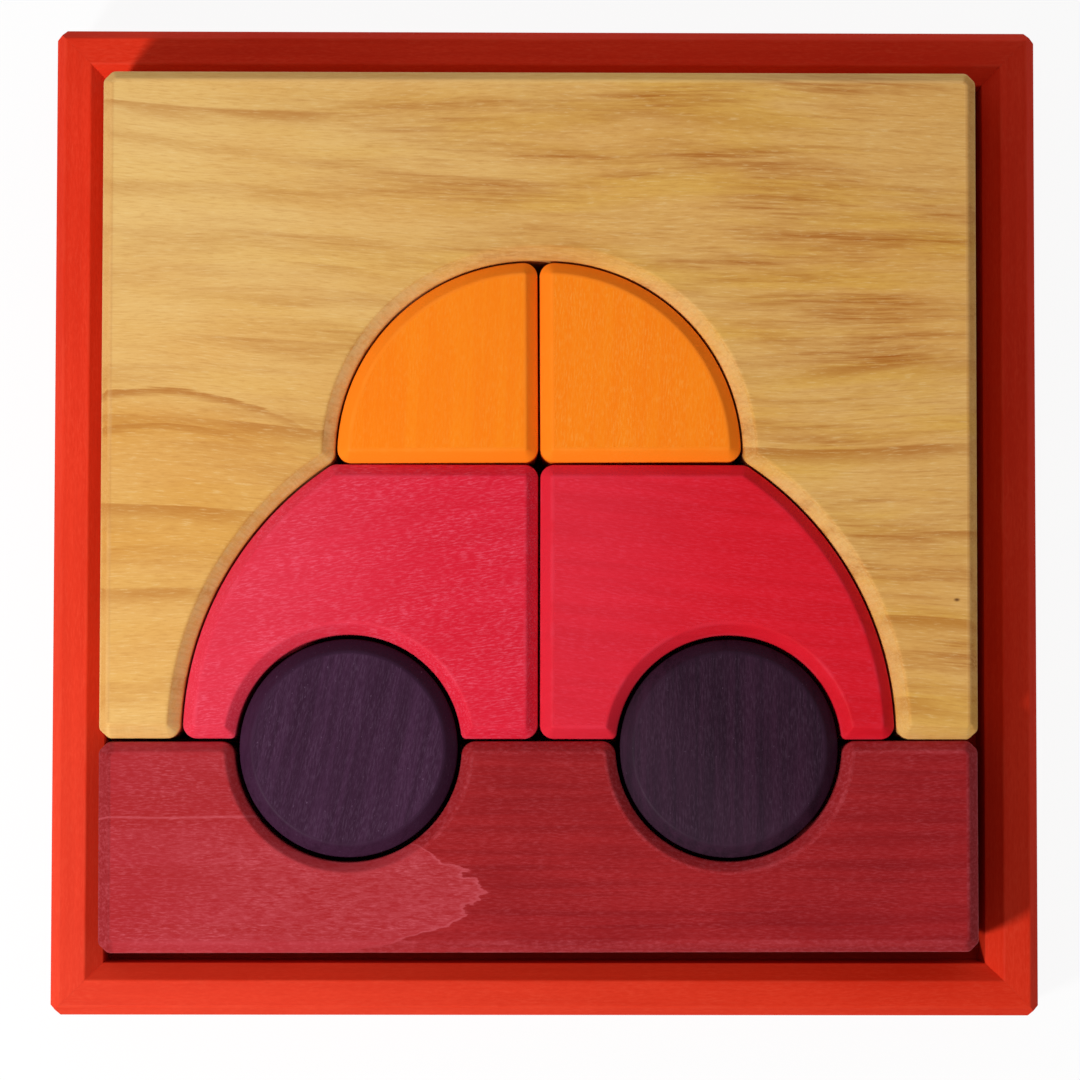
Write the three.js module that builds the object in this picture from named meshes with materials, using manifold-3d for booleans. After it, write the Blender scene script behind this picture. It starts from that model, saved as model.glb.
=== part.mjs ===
// A wooden building block set: eight loose blocks that nest together into the
// picture of a car on a road, lying in a shallow mitred tray.
//
// Millimetres, +Z up. The tray lies flat, +X is the picture's right and +Y its
// top. The origin is on the ground under the middle of the tray.

import * as THREE from 'three';
import { mergeVertices } from 'three/addons/utils/BufferGeometryUtils.js';
import Module from 'manifold-3d';

// Driving dimensions: the blocks
const blockThickness = 40; // every block, lower face to upper face
const setWidth = 200; // sky and road blocks, left to right
const skyHeight = 152.8; // sky block, upper edge to the ends of its legs
const roadHeight = 47.9; // road block, upper edge to lower edge
const bodyLength = 80.8; // body block, seam to its outermost point
const bodyHeight = 62.6; // body block, lower edge to upper edge
const bodyRadius = 74.8; // body block, outer arc
const roofSide = 45.9; // roof block, each straight side
const roofRadius = 44.4; // roof block, arc
const wheelDiameter = 49.6;
const wheelSpacing = 86.6; // between the wheels' centres
const wheelDrop = 2.1; // wheels' centres below the car's lower edge

// Driving dimensions: how the blocks fit each other
const fitGap = 0.5; // air between neighbouring blocks
const wheelGap = 1; // air round each wheel in its nest

// Driving dimensions: the worked edges of the blocks
const skyChamfer = 2; // outside rims of the sky block
const archChamfer = 3.1; // rims of the sky block's car-shaped opening
const carChamfer = 2.7; // rims of the roof and body blocks
const roadChamfer = 2.3;
const wheelChamfer = 2.8;
const roundCorner = 3.2; // upright edges that are rounded over
const cutCorner = 2.1; // upright edges that are cut off at 45 degrees

// Driving dimensions: the tray
const sidePlay = 5; // tray opening wider than the set, left to right
const depthPlay = 4.4; // and from the near rail to the far rail
const wallGap = 0.9; // the set lies this far from the left and far rails
const railWidth = 12;
const railHeight = 28;
const railChamfer = 2; // outer edges of the rails
const railBevel = 4; // inner upper edge of the rails
const trayCorner = 2.4; // upright corners of the tray, cut off at 45 degrees
const mitreGap = 0.1; // glue line in each mitre
const panelThickness = 5;
const panelRecess = 3; // panel's underside above the ground
const grooveDepth = 4; // groove in the rails that holds the panel
const grooveGap = 0.3; // air round the panel in its groove
const restGap = 0.2; // air under the blocks, which lie on raised grain

// Facets
const facetDepth = 0.03; // how far a facet may lie inside its arc
const samePoint = 0.001; // points of an outline that lie closer are one
const overcut = 10; // how far cutting shapes reach past what they cut

// Places in the set's own plane, with the middle of the car's lower edge at 0, 0
const setHeight = skyHeight + fitGap + roadHeight;
const nestRadius = wheelDiameter / 2 + wheelGap;
const wheelX = wheelSpacing / 2;
const bodyArcX = fitGap / 2 + bodyLength - bodyRadius;
const roofOverhang = roofSide - roofRadius; // straight stretch past the arc's centre
const roofArcX = fitGap / 2 + roofOverhang;
const roofArcY = bodyHeight + fitGap + roofOverhang;
const roadTop = -fitGap;
const roadY = roadTop - roadHeight / 2;
const setCentreY = skyHeight - setHeight / 2;

// Places in the tray
const trayOpening = setWidth + sidePlay;
const trayDepth = setHeight + depthPlay;
const panelTop = panelRecess + panelThickness;
const setX = wallGap - sidePlay / 2;
const setY = depthPlay / 2 - wallGap - setCentreY;
const setZ = panelTop + restGap;

// The loose blocks have settled: the road block and both roof blocks lie turned
// far enough to take up half of the gap at their tight end.
const roadTurn = Math.asin(fitGap / setWidth);
const roofTurn = Math.asin(fitGap / 2 / roofSide);

const quarterTurn = Math.PI / 2;
const halfTurn = Math.PI;
const fullTurn = 2 * Math.PI;

const wasm = await Module();
wasm.setup();

// Boolean work: a geometry as a solid, and a solid as a geometry
function toSolid(geometry) {
  const bare = geometry.clone();
  bare.deleteAttribute('normal');
  bare.deleteAttribute('uv');
  const merged = mergeVertices(bare);
  const mesh = new wasm.Mesh({
    numProp: 3,
    vertProperties: merged.attributes.position.array,
    triVerts: Uint32Array.from(merged.index.array),
  });
  return new wasm.Manifold(mesh);
}

function toGeometry(solid) {
  const mesh = solid.getMesh();
  const geometry = new THREE.BufferGeometry();
  geometry.setAttribute('position', new THREE.BufferAttribute(mesh.vertProperties, 3));
  geometry.setIndex(new THREE.BufferAttribute(mesh.triVerts, 1));
  geometry.computeVertexNormals();
  return geometry;
}

// A block: an outline sawn from board, with both rims chamfered at 45 degrees.
// It stands on z = 0.
function sawnBlock(outline, chamfer) {
  const geometry = new THREE.ExtrudeGeometry(outline, {
    depth: blockThickness - 2 * chamfer,
    bevelThickness: chamfer,
    bevelSize: chamfer,
    bevelOffset: -chamfer,
    bevelSegments: 1,
  });
  return geometry.translate(0, 0, chamfer);
}

// How many facets a round stretch of the given sweep needs
function facetCount(radius, sweep) {
  const facet = 2 * Math.acos(1 - facetDepth / radius);
  return Math.ceil(Math.abs(sweep) / facet);
}

// Carries an outline on along an arc, from one angle to another
function addArc(points, x, y, radius, start, end) {
  const steps = facetCount(radius, end - start);
  for (let i = 0; i <= steps; i += 1) {
    const angle = start + ((end - start) * i) / steps;
    const point = new THREE.Vector2(x + radius * Math.cos(angle), y + radius * Math.sin(angle));
    const last = points.at(-1);
    if (!last || last.distanceTo(point) > samePoint) points.push(point);
  }
}

// Distance from an arc's centre to the centre of a rounded corner that lies
// inside the arc and touches it, measured square to the given offset.
function insideReach(arcRadius, offset) {
  return Math.sqrt((arcRadius - roundCorner) ** 2 - offset ** 2);
}

// The same for a rounded corner that touches the arc from outside.
function outsideReach(arcRadius, offset) {
  return Math.sqrt((arcRadius + roundCorner) ** 2 - offset ** 2);
}

// Roof block: a quarter of a disc, about the centre of its arc
function roofOutline() {
  const corner = roundCorner - roofOverhang;
  const reach = insideReach(roofRadius, corner);
  const start = Math.atan2(corner, reach);
  const points = [];
  addArc(points, corner, corner, roundCorner, -halfTurn, -quarterTurn);
  addArc(points, reach, corner, roundCorner, -quarterTurn, start);
  addArc(points, 0, 0, roofRadius, start, quarterTurn - start);
  addArc(points, corner, reach, roundCorner, quarterTurn - start, halfTurn);
  return new THREE.Shape(points);
}

// Body block, the right-hand one: a curved outer side and half a wheel arch in
// its lower edge, about the middle of the car's lower edge
function bodyOutline() {
  const inner = fitGap / 2 + roundCorner;
  const upper = bodyHeight - roundCorner;
  const lowReach = insideReach(bodyRadius, roundCorner);
  const highReach = insideReach(bodyRadius, upper);
  const start = Math.atan2(roundCorner, lowReach);
  const end = Math.atan2(upper, highReach);
  const foot = Math.asin(wheelDrop / nestRadius);
  const points = [];
  addArc(points, inner, roundCorner, roundCorner, -halfTurn, -quarterTurn);
  addArc(points, wheelX, -wheelDrop, nestRadius, halfTurn - foot, foot);
  addArc(points, bodyArcX + lowReach, roundCorner, roundCorner, -quarterTurn, start);
  addArc(points, bodyArcX, 0, bodyRadius, start, end);
  addArc(points, bodyArcX + highReach, upper, roundCorner, end, quarterTurn);
  addArc(points, inner, upper, roundCorner, quarterTurn, halfTurn);
  return new THREE.Shape(points);
}

// The two cut corners at one end of a board, as an outline meets them: sign 1 is
// the right-hand end, going up, and sign -1 the left-hand end, going down
function cutEnd(width, height, sign) {
  const x = (sign * width) / 2;
  const y = (sign * height) / 2;
  const cut = sign * cutCorner;
  return [
    new THREE.Vector2(x - cut, -y),
    new THREE.Vector2(x, cut - y),
    new THREE.Vector2(x, y - cut),
    new THREE.Vector2(x - cut, y),
  ];
}

// A board about its middle, with its four corners cut off
function boardOutline(width, height) {
  return new THREE.Shape([...cutEnd(width, height, 1), ...cutEnd(width, height, -1)]);
}

// Road block: a board with two round nests in its upper edge, about its middle
function roadOutline() {
  const nestY = -wheelDrop - roadY;
  const lipY = roadHeight / 2 - roundCorner;
  const reach = outsideReach(nestRadius, lipY - nestY);
  const lip = Math.atan2(lipY - nestY, reach);
  const points = cutEnd(setWidth, roadHeight, 1);
  for (const nestX of [wheelX, -wheelX]) {
    addArc(points, nestX + reach, lipY, roundCorner, quarterTurn, halfTurn + lip);
    addArc(points, nestX, nestY, nestRadius, lip, -halfTurn - lip);
    addArc(points, nestX - reach, lipY, roundCorner, -lip, quarterTurn);
  }
  points.push(...cutEnd(setWidth, roadHeight, -1));
  return new THREE.Shape(points);
}

// The centre of a rounded corner that touches two arcs from outside: the arc
// round the body, about (bodyArcX, 0), and the arc round the roof, about
// (roofArcX, roofArcY).
function shoulderCentre(bodyArc, roofArc) {
  const toRoof = new THREE.Vector2(roofArcX - bodyArcX, roofArcY);
  const span = toRoof.length();
  const fromBody = bodyArc + roundCorner;
  const fromRoof = roofArc + roundCorner;
  const along = (fromBody ** 2 - fromRoof ** 2 + span ** 2) / (2 * span);
  const aside = Math.sqrt(fromBody ** 2 - along ** 2);
  const direction = toRoof.normalize();
  const x = bodyArcX + direction.x * along + direction.y * aside;
  const y = direction.y * along - direction.x * aside;
  return new THREE.Vector2(x, y);
}

// The sky's opening: a board larger than the sky block, with the car's outline
// let in from its lower edge a gap wider than the car, and rounded shoulders
// where the roof meets the body
function openingOutline() {
  const bodyArc = bodyRadius + fitGap;
  const roofArc = roofRadius + fitGap;
  const shoulder = shoulderCentre(bodyArc, roofArc);
  const bodyEnd = Math.atan2(shoulder.y, shoulder.x - bodyArcX);
  const roofStart = Math.atan2(shoulder.y - roofArcY, shoulder.x - roofArcX);
  const legX = bodyArcX + outsideReach(bodyArc, roundCorner);
  const leg = Math.atan2(roundCorner, legX - bodyArcX);
  const x = setWidth / 2 + overcut;
  const top = skyHeight + overcut;
  const points = [new THREE.Vector2(x, 0), new THREE.Vector2(x, top)];
  points.push(new THREE.Vector2(-x, top), new THREE.Vector2(-x, 0));
  addArc(points, -legX, roundCorner, roundCorner, -quarterTurn, -leg);
  addArc(points, -bodyArcX, 0, bodyArc, halfTurn - leg, halfTurn - bodyEnd);
  addArc(points, -shoulder.x, shoulder.y, roundCorner, -bodyEnd, -roofStart);
  addArc(points, -roofArcX, roofArcY, roofArc, halfTurn - roofStart, quarterTurn);
  addArc(points, roofArcX, roofArcY, roofArc, quarterTurn, roofStart);
  addArc(points, shoulder.x, shoulder.y, roundCorner, halfTurn + roofStart, halfTurn + bodyEnd);
  addArc(points, bodyArcX, 0, bodyArc, bodyEnd, leg);
  addArc(points, legX, roundCorner, roundCorner, halfTurn + leg, halfTurn + quarterTurn);
  return new THREE.Shape(points);
}

// Sky block: the plain board with its own chamfer, less the car's opening with
// the wider one
function skyGeometry() {
  const board = sawnBlock(boardOutline(setWidth, skyHeight), skyChamfer);
  board.translate(0, skyHeight / 2, 0);
  const opening = sawnBlock(openingOutline(), archChamfer);
  return toGeometry(toSolid(board).intersect(toSolid(opening)));
}

// Wheel: a disc turned about +Z, with both rims chamfered
function wheelGeometry() {
  const radius = wheelDiameter / 2;
  const profile = [
    new THREE.Vector2(0, 0),
    new THREE.Vector2(radius - wheelChamfer, 0),
    new THREE.Vector2(radius, wheelChamfer),
    new THREE.Vector2(radius, blockThickness - wheelChamfer),
    new THREE.Vector2(radius - wheelChamfer, blockThickness),
    new THREE.Vector2(0, blockThickness),
  ];
  return new THREE.LatheGeometry(profile, facetCount(radius, fullTurn)).rotateX(quarterTurn);
}

// Rail: seen from its end, x runs inward from the tray's outer face and y up
function railProfile() {
  const grooveFloor = panelRecess - grooveGap;
  const grooveRoof = panelTop + grooveGap;
  const profile = new THREE.Shape();
  profile.moveTo(railChamfer, 0);
  profile.lineTo(railWidth, 0);
  profile.lineTo(railWidth, grooveFloor);
  profile.lineTo(railWidth - grooveDepth, grooveFloor);
  profile.lineTo(railWidth - grooveDepth, grooveRoof);
  profile.lineTo(railWidth, grooveRoof);
  profile.lineTo(railWidth, railHeight - railBevel);
  profile.lineTo(railWidth - railBevel, railHeight);
  profile.lineTo(railChamfer, railHeight);
  profile.lineTo(0, railHeight - railChamfer);
  profile.lineTo(0, railChamfer);
  profile.closePath();
  return profile;
}

// A straight rail, outer face at x = 0 and inner face at x = railWidth, running
// along Y with its middle at y = 0. Each end is mitred: a corner that lies
// further in from the outer face is drawn back by as much. The tip of each
// mitre is cut off, which makes the tray's cut corner.
function railGeometry(length) {
  const rail = new THREE.ExtrudeGeometry(railProfile(), { depth: length, bevelEnabled: false });
  rail.rotateX(quarterTurn);
  rail.translate(0, length / 2, 0);
  const corners = rail.attributes.position;
  for (let i = 0; i < corners.count; i += 1) {
    const reach = length / 2 - corners.getX(i) - mitreGap / 2;
    corners.setY(i, Math.sign(corners.getY(i)) * reach);
  }
  const tip = new THREE.BoxGeometry(2 * trayCorner, 2 * trayCorner, railHeight + 2 * overcut);
  tip.rotateZ(quarterTurn / 2);
  const past = trayCorner * (Math.SQRT1_2 - 1 / 2); // the box's middle, past the tray's corner
  const farTip = tip.clone().translate(-past, length / 2 + past, railHeight / 2);
  const nearTip = tip.clone().translate(-past, -length / 2 - past, railHeight / 2);
  return toGeometry(toSolid(rail).subtract(toSolid(farTip)).subtract(toSolid(nearTip)));
}

// Finishes
function stain(color, roughness) {
  return new THREE.MeshStandardMaterial({ color, roughness, metalness: 0 });
}

const skyWood = stain(0xd8aa66, 0.5);
const roofStain = stain(0xfb841e, 0.55);
const bodyStain = stain(0xdb2b43, 0.55);
const wheelStain = stain(0x3b2437, 0.55);
const roadStain = stain(0xa2333a, 0.55);
const trayStain = stain(0xdf3820, 0.55);
const panelStain = stain(0xd2391f, 0.65);

const buildingSet = new THREE.Group();

function place(parent, name, geometry, material) {
  const mesh = new THREE.Mesh(geometry, material);
  mesh.name = name;
  parent.add(mesh);
  return mesh;
}

// Tray: four mitred rails and the panel that slides into their grooves
const outerX = trayOpening / 2 + railWidth;
const outerY = trayDepth / 2 + railWidth;
const sideRail = railGeometry(2 * outerY);
const endRail = railGeometry(2 * outerX);
const left = place(buildingSet, 'tray_rail_left', sideRail, trayStain);
left.position.x = -outerX;
const right = place(buildingSet, 'tray_rail_right', sideRail, trayStain);
right.position.x = outerX;
right.rotation.z = halfTurn;
const near = place(buildingSet, 'tray_rail_near', endRail, trayStain);
near.position.y = -outerY;
near.rotation.z = quarterTurn;
const far = place(buildingSet, 'tray_rail_far', endRail, trayStain);
far.position.y = outerY;
far.rotation.z = -quarterTurn;

const panelMargin = 2 * (grooveDepth - grooveGap);
const panelSheet = new THREE.BoxGeometry(
  trayOpening + panelMargin,
  trayDepth + panelMargin,
  panelThickness,
);
const panel = place(buildingSet, 'base_panel', panelSheet, panelStain);
panel.position.z = panelRecess + panelThickness / 2;

// The blocks, lying in the tray
const blocks = new THREE.Group();
blocks.position.set(setX, setY, setZ);
buildingSet.add(blocks);

place(blocks, 'sky_block', skyGeometry(), skyWood);

const road = place(blocks, 'road_block', sawnBlock(roadOutline(), roadChamfer), roadStain);
road.position.y = roadY;
road.rotation.z = roadTurn;

// Both blocks of a pair are alike: the left one is the right one turned over.
const roof = sawnBlock(roofOutline(), carChamfer);
const body = sawnBlock(bodyOutline(), carChamfer);
const wheel = wheelGeometry();
for (const [side, sign] of [['left', -1], ['right', 1]]) {
  const turnedOver = sign < 0;
  const roofBlock = place(blocks, `roof_${side}`, roof, roofStain);
  roofBlock.position.set(sign * roofArcX, roofArcY, turnedOver ? blockThickness : 0);
  roofBlock.rotation.set(0, turnedOver ? halfTurn : 0, roofTurn, 'ZYX');
  const bodyBlock = place(blocks, `body_${side}`, body, bodyStain);
  bodyBlock.position.z = turnedOver ? blockThickness : 0;
  bodyBlock.rotation.y = turnedOver ? halfTurn : 0;
  const wheelBlock = place(blocks, `wheel_${side}`, wheel, wheelStain);
  wheelBlock.position.set(sign * wheelX, -wheelDrop, 0);
}

export default buildingSet;
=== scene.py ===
"""Wooden car blocks in a tray: builds the blocks, the tray and a small studio.

Every block is the section of its rim, a wall between two chamfers, carried round
an outline of arcs. The tray's rails are one section carried along each side.
Lengths are in metres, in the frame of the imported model.
"""

import math

import bpy
import numpy as np
from bpy.props import FloatProperty, FloatVectorProperty, PointerProperty
from bpy.types import Operator, Panel, PropertyGroup
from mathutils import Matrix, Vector


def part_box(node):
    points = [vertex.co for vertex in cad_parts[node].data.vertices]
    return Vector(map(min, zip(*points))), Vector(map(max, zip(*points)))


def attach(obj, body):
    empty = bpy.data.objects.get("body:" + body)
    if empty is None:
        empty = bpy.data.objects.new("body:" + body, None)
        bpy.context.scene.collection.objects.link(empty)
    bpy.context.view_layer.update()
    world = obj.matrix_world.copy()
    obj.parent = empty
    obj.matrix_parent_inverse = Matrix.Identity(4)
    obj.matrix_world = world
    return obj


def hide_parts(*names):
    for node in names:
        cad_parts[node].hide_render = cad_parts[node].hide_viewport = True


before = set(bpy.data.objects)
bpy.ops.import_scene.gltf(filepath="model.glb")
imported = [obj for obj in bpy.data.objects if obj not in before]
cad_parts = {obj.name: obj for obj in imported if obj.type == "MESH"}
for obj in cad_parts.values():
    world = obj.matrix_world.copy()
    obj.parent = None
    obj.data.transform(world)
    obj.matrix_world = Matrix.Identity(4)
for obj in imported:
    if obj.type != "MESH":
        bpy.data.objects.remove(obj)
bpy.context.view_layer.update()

bl_info = {
    "name": "Car Blocks in a Tray",
    "version": (1, 0, 0),
    "blender": (4, 5, 0),
    "location": "View3D > Sidebar > Car Blocks",
    "description": "Builds wooden car blocks, their mitred tray and a small studio",
    "category": "Add Mesh",
}

MM = 0.001
QUARTER = math.pi / 2
HALF = math.pi

SKY_LOW, SKY_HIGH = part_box("sky_block")
WHEEL_LOW, WHEEL_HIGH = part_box("wheel_left")
RAIL_LOW, RAIL_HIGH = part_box("tray_rail_near")

# The middle of the car's lower edge, from which the blocks' outlines are drawn.
CAR_X = (SKY_LOW[0] + SKY_HIGH[0]) / 2
CAR_Y = SKY_LOW[1]
BLOCK_FOOT = SKY_LOW[2]

EDGE_STEPS = 5  # points across a softened edge
CORNER_STEPS = 9  # points round an upright rounded corner
ARC_STEPS = 56  # points round a long arc
WHEEL_STEPS = 192  # points round a wheel
LEAST_RADIUS = 0.5 * MM  # of a rounded corner that a chamfer narrows
FOOT_SHARE = 0.4  # radius of the feet beside a wheel arch, as a share of the other corners

WAX_SHINE = 0.06  # how glossy every finish is
RELIEF = 0.2  # how strong the bump of every grain is

# Places in the grain, in millimetres from the middle of the car's lower edge
FLAME_TIP = (-14.0, -34.5)  # right end of the flame on the road
FLAME_BEND = 0.14  # how far the flame's ring falls back 1 mm above or below its tip
LEVEL_RISE = 16.5  # height of the level ring over the flame's tip
LEVEL_END = (-40.0, -60.0)  # where that ring starts to show, and where it is full
PALE_SHEEN_END = (-55.0, -75.0)  # where the road's paler left starts, and where it is full: partly paler wood, partly painted sheen towards the lamp
ROAD_ENDS = (96.0, 97.5)  # where the road's deeper ends start, and where they are full
HILL_TOP = (-88.0, 79.6)  # top of the hill of rings on the sky block
HILL_BEND = 0.0075  # how far the hill falls 1 mm beside its top
# Each ring of the hill: its drop under the top, where it starts to fade and is gone, its share
HILL_RINGS = ((0.0, 14.0, 55.0, 0.7), (8.0, 6.0, 36.0, 0.55))

LINE_STEP = 19.0  # height in millimetres from one growth line of the sky block to the next
KNOT_INSET = (4.9 * MM, 121.0 * MM)  # from the sky block's right and upper edges
KNOT_SIZE = (1.0, 1.0 / 1.7, 1.0)  # half the knot's length, width and depth in millimetres
SAW_STEP = 0.8 * MM  # between the saw marks round the opening
RAIL_SHEEN_REACH = (0.04, -0.2)  # x plus y in metres where the rails' painted sheen starts, and where it is strongest, towards the lamp

FLOOR_REACH = 3.0  # from the middle of the floor to its edges
FLOOR_POINTS = 13  # along each edge of the floor
SENSOR_WIDTH = 36.0  # of the camera, in millimetres
CAMERA_TURN = tuple(math.radians(angle) for angle in (2.911, -0.462, 0.084))


# Properties


def number(name, default, description, **kind):
    """A property of one number."""
    return FloatProperty(name=name, default=default, description=description, **kind)


def numbers(name, default, description, **kind):
    """A property of three numbers."""
    return FloatVectorProperty(name=name, default=default, description=description, **kind)


def length(name, millimetres, description):
    """A length property, given in millimetres and kept in metres."""
    kind = {"min": 0.0, "precision": 5, "subtype": "DISTANCE", "unit": "LENGTH"}
    return number(name, millimetres * MM, description, **kind)


def fraction(name, default, description):
    """A property from 0 to 1."""
    return number(name, default, description, min=0.0, max=1.0, subtype="FACTOR")


def spot(name, metres, description):
    """A place in the scene."""
    return numbers(name, metres, description, subtype="TRANSLATION", unit="LENGTH")


def colour(name, red, green, blue, description):
    """A colour property, given as it looks on a screen from 0 to 255 and kept linear."""
    shown = np.array((red, green, blue)) / 255.0
    linear = np.where(shown <= 0.04045, shown / 12.92, ((shown + 0.055) / 1.055) ** 2.4)
    return numbers(name, tuple(linear), description, min=0.0, max=1.0, size=3, subtype="COLOR")


class CarBlockSizes(PropertyGroup):
    """Sizes of the eight blocks"""

    thickness: length("Thickness", (SKY_HIGH[2] - SKY_LOW[2]) / MM, "Every block, lower face to upper face")
    set_width: length("Set width", (SKY_HIGH[0] - SKY_LOW[0]) / MM, "Sky and road blocks, left to right")
    sky_height: length("Sky height", (SKY_HIGH[1] - SKY_LOW[1]) / MM, "Sky block, top to its legs' ends")
    road_height: length("Road height", 47.9, "Road block, upper edge to lower edge")
    body_length: length("Body length", 80.8, "Body block, seam to its outermost point")
    body_height: length("Body height", 62.6, "Body block, lower edge to upper edge")
    body_radius: length("Body radius", 74.8, "Outer arc of a body block")
    roof_side: length("Roof side", 45.9, "Each straight side of a roof block")
    roof_radius: length("Roof radius", 44.4, "Arc of a roof block")
    wheel_diameter: length("Wheel diameter", (WHEEL_HIGH[0] - WHEEL_LOW[0]) / MM, "Both wheel discs")
    wheel_spacing: length("Wheel spacing", 86.6, "Between the wheels' centres")
    wheel_drop: length("Wheel drop", 2.1, "Wheels' centres below the car's lower edge")
    fit_gap: length("Fit gap", 0.5, "Air between neighbouring blocks")
    wheel_gap: length("Wheel gap", 1.0, "Air round a wheel in its nest")
    sky_chamfer: length("Sky chamfer", 2.0, "Outside rims of the sky block")
    arch_chamfer: length("Opening chamfer", 3.1, "Rims of the sky block's car-shaped opening")
    car_chamfer: length("Car chamfer", 2.7, "Rims of the roof and body blocks")
    road_chamfer: length("Road chamfer", 2.3, "Rims of the road block")
    wheel_chamfer: length("Wheel chamfer", 2.8, "Rims of the wheels")
    round_corner: length("Rounded corners", 3.2, "Radius of the upright edges that are rounded")
    cut_corner: length("Cut corners", 2.1, "Upright edges that are cut off at 45 degrees")
    softness: length("Softened edges", 0.4, "How far sanding reaches to each side of an edge")


class TraySizes(PropertyGroup):
    """Sizes of the tray's rails"""

    rail_width: length("Rail width", 12.0, "Outer face to inner face")
    rail_height: length("Rail height", (RAIL_HIGH[2] - RAIL_LOW[2]) / MM, "Ground to upper face")
    rail_chamfer: length("Outer chamfer", 2.0, "Outer edges of the rails")
    rail_bevel: length("Inner bevel", 4.0, "Inner upper edge of the rails")
    tray_corner: length("Tray corner", 2.4, "Upright corners, cut off at 45 degrees")
    glue_line: length("Glue line", 0.02, "Gap that glue and stain leave between two mitred rails")
    groove_low: length("Groove floor", 2.7, "Lower side of the panel's groove above the ground")
    groove_high: length("Groove roof", 8.3, "Upper side of the panel's groove above the ground")
    groove_depth: length("Groove depth", 4.0, "How deep the panel's groove is")
    softness: length("Softened edges", 0.35, "How far sanding reaches to each side of an edge")


DEEP = "Where the wood drank more stain"
PALE = "Where the stain is rubbed thin"


class WoodColours(PropertyGroup):
    """Colours of the woods and stains"""

    sky: colour("Sky wood", 233, 191, 119, "Oiled wood between its growth rings")
    sky_warm: colour("Sky wood, warm", 219, 161, 83, "Deeper gold of the oiled wood")
    sky_gold: colour("Sky wood, gold", 221, 169, 66, "Zones of yellower gold in the oiled wood")
    # Its share on the outside rims towards the left is painted shade, towards the lamp; on their ends it is
    # end grain.
    sky_ring: colour("Sky rings", 172, 99, 32, "Growth rings, streaks and darker rims")
    # Paler than the face partly as painted light on the opening's sloping rim.
    sky_sawn: colour("Sky sawn edge", 222, 185, 120, "Sawn wood on the opening's rim")
    # Its share on the long outside rims towards the right, and on the opening's upper left rim, is painted
    # light.
    sky_pale: colour("Sky wood, pale", 240, 208, 146, "Pale fibres, drier rims and rubbed edges")
    sky_knot: colour("Sky knot", 92, 52, 24, "Tiny dark knot near the right edge")
    roof: colour("Roof stain", 255, 138, 22, "Orange stain")
    roof_deep: colour("Roof stain, deep", 253, 125, 15, DEEP)
    roof_pale: colour("Roof stain, pale", 255, 160, 62, PALE)
    # The left body's pinker, bluer tones are partly painted sheen, as that block lies nearer the lamp; both
    # bodies' pale tones also carry a painted sheen towards the left.
    body_left: colour("Left body stain", 221, 34, 58, "Crimson stain on paler wood")
    body_left_deep: colour("Left body stain, deep", 211, 27, 48, DEEP)
    body_left_pale: colour("Left body stain, pale", 246, 112, 138, PALE)
    body_right: colour("Right body stain", 222, 28, 45, "Crimson stain on plainer wood")
    body_right_deep: colour("Right body stain, deep", 206, 20, 34, DEEP)
    body_right_pale: colour("Right body stain, pale", 240, 84, 112, PALE)
    # On the wheels' rims the deep tones grow towards the upper right as painted shade, and the right wheel's
    # pale tone is painted light towards its lower left.
    wheel_left: colour("Left wheel stain", 65, 34, 59, "Aubergine stain")
    wheel_left_deep: colour("Left wheel stain, deep", 46, 20, 40, DEEP)
    wheel_left_pale: colour("Left wheel stain, pale", 104, 78, 102, PALE)
    wheel_right: colour("Right wheel stain", 52, 24, 43, "Aubergine stain on darker wood")
    wheel_right_deep: colour("Right wheel stain, deep", 28, 11, 24, DEEP)
    wheel_right_pale: colour("Right wheel stain, pale", 88, 66, 84, PALE)
    # At the road's left end, nearest the lamp, the paler inside stain is partly painted sheen.
    road: colour("Road stain", 169, 41, 49, "Dark red stain inside the flame of the grain")
    road_dark: colour("Road stain, dark", 161, 32, 35, "Dark red stain outside the flame")
    road_deep: colour("Road stain, deep", 134, 20, 24, DEEP)
    road_pale: colour("Road stain, pale", 206, 92, 102, PALE)
    # Towards the lower left the tray's pale tone is also mixed in as painted sheen, where the lamp's broad
    # gloss falls.
    tray: colour("Tray stain", 222, 51, 26, "Orange-red stain")
    tray_deep: colour("Tray stain, deep", 208, 40, 16, DEEP)
    tray_pale: colour("Tray stain, pale", 240, 96, 68, PALE)
    panel_deep: colour("Panel stain, deep", 180, 30, 12, DEEP)


class StudioSettings(PropertyGroup):
    """Light, floor and camera"""

    key_power: number("Key light", 5.1, "Power of the lamp", min=0.0, subtype="POWER", unit="POWER")
    key_size: length("Key light size", 120.0, "Width of the lamp, which softens the shadows")
    key_place: spot("Key light place", (-0.42, -0.35, 0.62), "Where the lamp stands")
    key_aim: spot("Key light aim", (-0.135, 0.118, 0.0), "The point that the lamp faces")
    fill: fraction("Fill light", 0.39, "Soft light from all round")
    fill_lean: fraction("Fill lean", 0.4, "How much more of the fill light comes from the picture's top")
    floor_glow: fraction("Floor whiteness", 0.92, "Share of the floor's white that no shadow takes away")
    camera_place: spot("Camera place", (-0.0086, -0.05136, 0.9468), "Where the camera stands, looking down")
    camera_turn: numbers("Camera turn", CAMERA_TURN, "From straight down", subtype="EULER", unit="ROTATION")
    camera_lens: number("Lens", 131.78, "Focal length in millimetres", min=1.0, unit="CAMERA")


class CarBlockSettings(PropertyGroup):
    """Everything that can be set on the block set"""

    blocks: PointerProperty(type=CarBlockSizes, name="Blocks", description="Sizes of the blocks")
    tray: PointerProperty(type=TraySizes, name="Tray", description="Sizes of the tray")
    colours: PointerProperty(type=WoodColours, name="Colours", description="Woods and stains")
    studio: PointerProperty(type=StudioSettings, name="Studio", description="Light and camera")


# Outlines


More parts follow.
